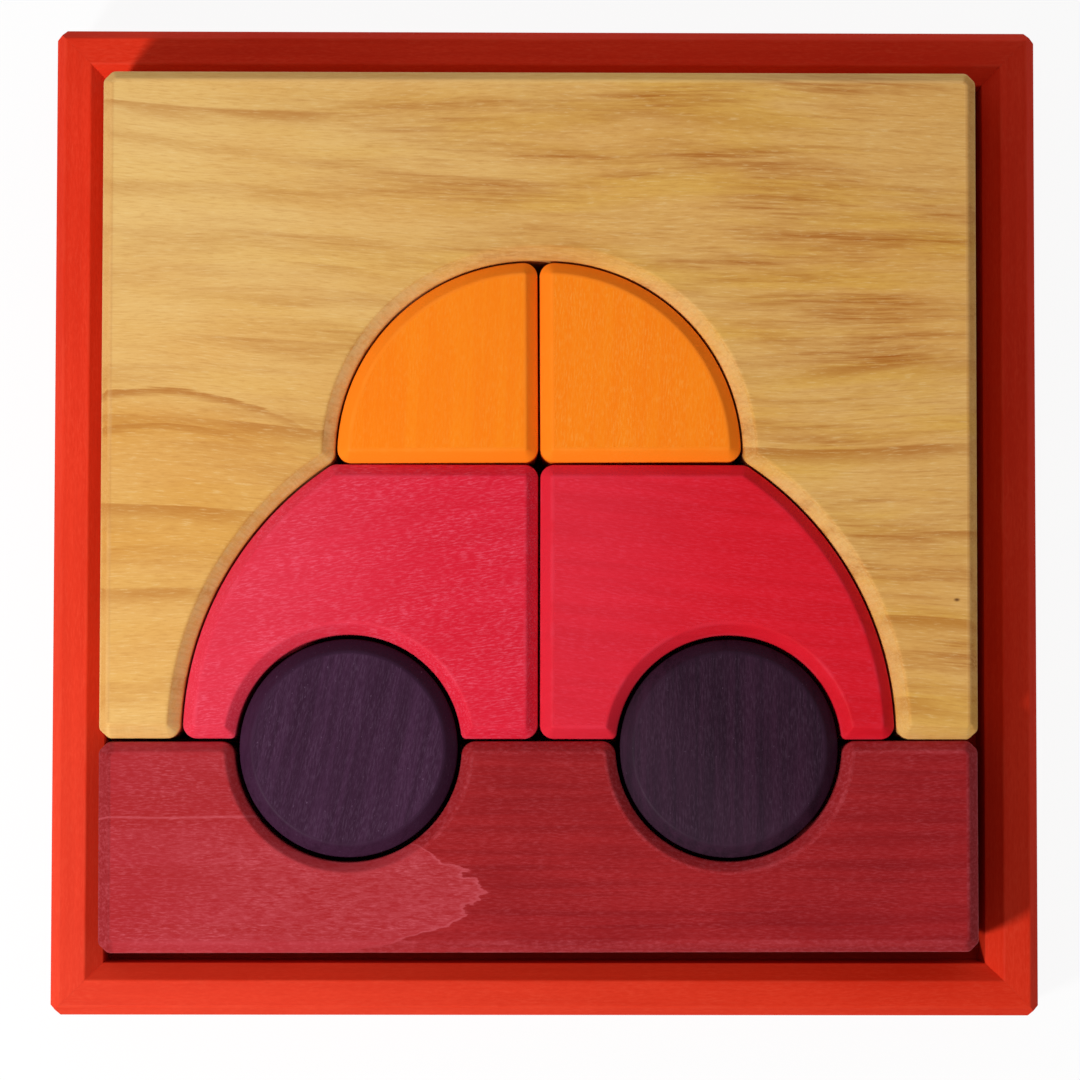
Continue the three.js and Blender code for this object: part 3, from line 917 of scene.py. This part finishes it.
class CARBLOCKS_OT_tray(Undoable, Operator):
    """Build the four mitred rails of the tray"""

    bl_idname = "carblocks.tray"
    bl_label = "Tray Rails"

    def execute(self, context):
        """Near and far rails run left to right, the other two front to back."""
        settings = context.scene.car_blocks
        outer_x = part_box("tray_rail_right")[1][0]
        outer_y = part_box("tray_rail_far")[1][1]
        finish = Finish("orange_red_tray_stain", "grain")
        x, y, _ = finish.axes(finish.object_place)
        # Painted sheen: the stain is mixed paler towards the lower left, where the lamp's broad gloss falls.
        rail_sheen = (x + y).span(*RAIL_SHEEN_REACH, 0.0, 0.16)
        tones = stain_tones(settings.colours, "tray")
        stain = stained_wood(finish, tones, flecks=0.18, rubbed_and_lit=rail_sheen)
        for turns, side in enumerate(("near", "right", "far", "left")):
            half, outer = (outer_x, outer_y) if turns % 2 == 0 else (outer_y, outer_x)
            mesh = rail_mesh(f"mitred_rail_{side}", half, outer, turns, settings.tray)
            finished_piece(mesh, stain, "tray", "tray_stain", f"tray_rail_{side}")
        return {"FINISHED"}


class CARBLOCKS_OT_base_panel(Undoable, Operator):
    """Finish the panel that the blocks lie on"""

    bl_idname = "carblocks.base_panel"
    bl_label = "Base Panel"

    def execute(self, context):
        """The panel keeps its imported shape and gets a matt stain, its grain left to right."""
        colours = context.scene.car_blocks.colours
        finish = Finish("orange_red_panel_stain")
        tones = colours.tray_deep, colours.panel_deep, colours.tray_pale
        stain = stained_wood(finish, tones, flecks=0.2, matt=0.15)
        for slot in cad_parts["base_panel"].material_slots:
            slot.material = stain
        return {"FINISHED"}


class CARBLOCKS_OT_sky_block(Undoable, Operator):
    """Build the oiled sky block with its car-shaped opening"""

    bl_idname = "carblocks.sky_block"
    bl_label = "Sky Block"

    def execute(self, context):
        """Its opening has a wider chamfer than its outside, so the rim's height changes along it."""
        settings = context.scene.car_blocks
        sizes = settings.blocks
        inset, height, edge = rim(sizes.sky_chamfer, sizes)
        opening_inset, opening_height, _ = rim(sizes.arch_chamfer, sizes)
        outline, opening = sky_outline(inset, opening_inset, sizes)
        heights = np.where(opening > 0.5, opening_height, height)
        mesh = block_mesh("sky_board", placed(outline, 0.0, 0.0), heights, edge, 0.0, opening)
        finished_piece(mesh, oiled_sky_wood(settings.colours), "sky", "sky_wood", "sky_block")
        return {"FINISHED"}


class CARBLOCKS_OT_roof_blocks(Undoable, Operator):
    """Build the two orange roof blocks"""

    bl_idname = "carblocks.roof_blocks"
    bl_label = "Roof Blocks"

    def execute(self, context):
        """Both quarter discs have settled a little anticlockwise about their arcs' centres."""
        settings = context.scene.car_blocks
        sizes = settings.blocks
        inset, height, edge = rim(sizes.car_chamfer, sizes)
        outline = roof_outline(inset, sizes)
        overhang = sizes.roof_side - sizes.roof_radius
        x = sizes.fit_gap / 2 + overhang
        y = sizes.body_height + sizes.fit_gap + overhang
        turn = math.asin(sizes.fit_gap / 2 / sizes.roof_side)
        grain = math.radians(88)
        tones = stain_tones(settings.colours, "roof")
        for side, body, shape, across, flecks in (
            ("left", "roof_l", mirrored(outline), -x, 0.35),
            ("right", "roof_r", outline, x, 0.65),
        ):
            finish = Finish(f"orange_{side}_stain")
            sanded = finish.own("sawn") * 0.1
            stain = stained_wood(finish, tones, grain, flecks, rims=0.8, rubbed_and_lit=sanded)
            where = placed(shape, across, y, turn)
            mesh = block_mesh(f"roof_quarter_{side}", where, height, edge, grain)
            finished_piece(mesh, stain, body, "roof_stain", f"roof_{side}")
        return {"FINISHED"}


class CARBLOCKS_OT_body_blocks(Undoable, Operator):
    """Build the two crimson body blocks"""

    bl_idname = "carblocks.body_blocks"
    bl_label = "Body Blocks"

    def execute(self, context):
        """The left block is the right one turned over, from paler wood with more flecks and a pinker stain
        that is partly painted sheen.

        Each stain is mixed paler to the left as painted sheen towards the lamp, between two places in
        millimetres from the seam.
        """
        settings = context.scene.car_blocks
        sizes = settings.blocks
        inset, height, edge = rim(sizes.car_chamfer, sizes)
        outline = body_outline(inset, sizes)
        for side, body, shape, grain, flecks, sanding, sheen_span in (
            ("left", "body_l", mirrored(outline), math.radians(8), 0.45, 0.1, (-15.0, -70.0)),
            ("right", "body_r", outline, math.radians(-6), 0.22, 0.7, (50.0, 8.0)),
        ):
            finish = Finish(f"crimson_{side}_stain")
            # Painted sheen: each stain is mixed paler towards the left, where the lamp stands.
            body_sheen = finish.from_car()[0].span(*sheen_span, 0.0, 0.12)
            tones = stain_tones(settings.colours, f"body_{side}")
            stain = stained_wood(finish, tones, grain, flecks, sanding=sanding, rubbed_and_lit=body_sheen)
            where = placed(shape, 0.0, 0.0)
            mesh = block_mesh(f"body_half_{side}", where, height, edge, grain)
            finished_piece(mesh, stain, body, "body_stain", f"body_{side}")
        return {"FINISHED"}


class CARBLOCKS_OT_wheel_blocks(Undoable, Operator):
    """Build the two aubergine wheels"""

    bl_idname = "carblocks.wheel_blocks"
    bl_label = "Wheels"

    def execute(self, context):
        """Two discs in the arches, their grain nearly upright in the picture.

        Their rims take a share of the deeper tone, from a first share to a second one, which grows towards
        the upper right as painted shade, away from the lamp; the right wheel gets painted light towards its
        lower left.
        """
        settings = context.scene.car_blocks
        sizes = settings.blocks
        inset, height, edge = rim(sizes.wheel_chamfer, sizes)
        outline = arc(0.0, 0.0, sizes.wheel_diameter / 2 - inset, 0.0, 2 * HALF, WHEEL_STEPS)
        for side, body, sign, grain, lit, shaded, rubbed_and_lit in (
            ("left", "wheel_l", -1, math.radians(78), 0.5, 1.0, 0.0),
            ("right", "wheel_r", 1, math.radians(90), 0.0, 0.5, 0.11),
        ):
            centre = sign * sizes.wheel_spacing / 2, -sizes.wheel_drop
            finish = Finish(f"aubergine_{side}_stain")
            x, y = finish.from_car(*centre)
            tones = stain_tones(settings.colours, f"wheel_{side}")
            # Painted shade: the rims' deeper tone grows towards the upper right, away from the lamp; painted
            # light: the right wheel is paler towards its lower left.
            rims = (x + y).span(-20.0, 20.0, lit, shaded)
            thin_stain_and_light = (x + y).span(10.0, -20.0, 0.0, rubbed_and_lit)
            dye = {"streaks": 0.8, "specks": 0.5, "wear": 0.03, "thirst": 0.0}
            stain = stained_wood(finish, tones, grain, rims=rims, rubbed_and_lit=thin_stain_and_light, **dye)
            where = placed(outline, *centre)
            mesh = block_mesh(f"wheel_disc_{side}", where, height, edge, grain)
            finished_piece(mesh, stain, body, "wheel_stain", f"wheel_{side}")
        return {"FINISHED"}


class CARBLOCKS_OT_road_block(Undoable, Operator):
    """Build the dark red road block with its two wheel nests"""

    bl_idname = "carblocks.road_block"
    bl_label = "Road Block"

    def execute(self, context):
        """The road has settled a little anticlockwise about its middle."""
        settings = context.scene.car_blocks
        sizes = settings.blocks
        inset, height, edge = rim(sizes.road_chamfer, sizes)
        turn = math.asin(sizes.fit_gap / sizes.set_width)
        where = placed(road_outline(inset, sizes), 0.0, -sizes.fit_gap - sizes.road_height / 2, turn)
        mesh = block_mesh("road_board", where, height, edge, 0.0)
        finished_piece(mesh, road_wood(settings.colours), "road", "road_stain", "road_block")
        return {"FINISHED"}


class CARBLOCKS_OT_studio(Undoable, Operator):
    """Set up the floor, the light and the camera"""

    bl_idname = "carblocks.studio"
    bl_label = "Studio"

    def execute(self, context):
        """A white floor, a lamp to the lower left, soft fill light and a camera overhead."""
        scene = context.scene
        studio = scene.car_blocks.studio
        scene.view_settings.view_transform = "Standard"
        self.lay_floor(studio)
        self.fill_room(scene, studio)

        lamp = bpy.data.lights.new("key_lamp", "AREA")
        lamp.shape = "DISK"
        lamp.size = studio.key_size
        lamp.energy = studio.key_power
        key = put("key_lamp", lamp)
        key.location = studio.key_place
        way = Vector(studio.key_aim) - key.location
        key.rotation_euler = way.to_track_quat("-Z", "Y").to_euler()

        lens = bpy.data.cameras.new("overhead_camera")
        lens.sensor_width = SENSOR_WIDTH
        lens.lens = studio.camera_lens
        camera = put("overhead_camera", lens)
        camera.location = studio.camera_place
        camera.rotation_euler = studio.camera_turn
        scene.camera = camera
        return {"FINISHED"}

    def lay_floor(self, studio):
        """A wide white sheet that keeps the tray's shadow, faintly mottled as paper is."""
        across = np.linspace(-FLOOR_REACH, FLOOR_REACH, FLOOR_POINTS)
        x, y = np.meshgrid(across, across)
        index = np.arange(x.size).reshape(x.shape)
        quads = np.stack((index[:-1, :-1], index[:-1, 1:], index[1:, 1:], index[1:, :-1]), axis=-1)
        points = np.stack((x, y, np.zeros_like(x)), axis=-1)
        mesh = bpy.data.meshes.new("paper_floor")
        mesh.from_pydata(points.reshape(-1, 3).tolist(), [], quads.reshape(-1, 4).tolist())
        floor = put("paper_floor", mesh)
        finish = Finish("white_paper")
        mottle = finish.grain((60, 60, 60)).span(0.3, 0.7)
        finish.link("Base Color", finish.blend(mottle, (0.9, 0.9, 0.9), (0.88, 0.88, 0.88)))
        finish.link("Roughness", 0.9)
        glowing = Value(finish, seen_rays(finish.tree)) * studio.floor_glow
        glow = finish.add("Emission", {"Strength": 1.0}).outputs[0]
        mixed = finish.add("MixShader", {0: glowing, 1: finish.surface.outputs["BSDF"], 2: glow})
        finish.tree.links.new(mixed.outputs[0], finish.output.inputs["Surface"])
        mesh.materials.append(finish.material)

    def fill_room(self, scene, studio):
        """Soft light from all round, a little more from the picture's top, seen as plain white."""
        world = bpy.data.worlds.new("white_room")
        world.use_nodes = True
        tree = world.node_tree
        way = add_node(tree, "TexCoord").outputs["Generated"]
        far = add_node(tree, "SeparateXYZ", {"Vector": way}).outputs["Y"]
        low, high = studio.fill * (1.0 - studio.fill_lean), studio.fill * (1.0 + studio.fill_lean)
        lean = {"Value": far, "From Min": -1.0, "From Max": 1.0, "To Min": low, "To Max": high}
        fill = add_node(tree, "MapRange", lean).outputs[0]
        strength = add_node(tree, "Mix", {0: seen_rays(tree), 2: fill, 3: 1.0}).outputs[0]
        background = next(made for made in tree.nodes if made.type == "BACKGROUND")
        background.inputs["Color"].default_value = (1.0, 1.0, 1.0, 1.0)
        tree.links.new(strength, background.inputs["Strength"])
        scene.world = world


class CARBLOCKS_PT_panel(Panel):
    """The block set's settings and the operators that build it"""

    bl_idname = "CARBLOCKS_PT_panel"
    bl_label = "Car Blocks"
    bl_space_type = "VIEW_3D"
    bl_region_type = "UI"
    bl_category = "Car Blocks"

    def draw(self, context):
        """Operators first, then each group of settings."""
        for operator in OPERATORS:
            self.layout.operator(operator.bl_idname)
        settings = context.scene.car_blocks
        for group in (settings.blocks, settings.tray, settings.colours, settings.studio):
            box = self.layout.box()
            for name in group.__annotations__:
                box.prop(group, name)


OPERATORS = (
    CARBLOCKS_OT_studio,
    CARBLOCKS_OT_tray,
    CARBLOCKS_OT_base_panel,
    CARBLOCKS_OT_sky_block,
    CARBLOCKS_OT_roof_blocks,
    CARBLOCKS_OT_body_blocks,
    CARBLOCKS_OT_wheel_blocks,
    CARBLOCKS_OT_road_block,
)
GROUPS = (CarBlockSizes, TraySizes, WoodColours, StudioSettings, CarBlockSettings)
CLASSES = (*GROUPS, *OPERATORS, CARBLOCKS_PT_panel)


def register():
    """Registers the classes and puts the settings on the scene."""
    for cls in CLASSES:
        bpy.utils.register_class(cls)
    bpy.types.Scene.car_blocks = PointerProperty(type=CarBlockSettings)


def unregister():
    """Takes the settings off the scene and unregisters the classes."""
    del bpy.types.Scene.car_blocks
    for cls in reversed(CLASSES):
        bpy.utils.unregister_class(cls)


def main():
    """Registers the add-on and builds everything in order."""
    register()
    for operator in OPERATORS:
        space, name = operator.bl_idname.split(".")
        getattr(getattr(bpy.ops, space), name)()


if __name__ == "__main__":
    main()
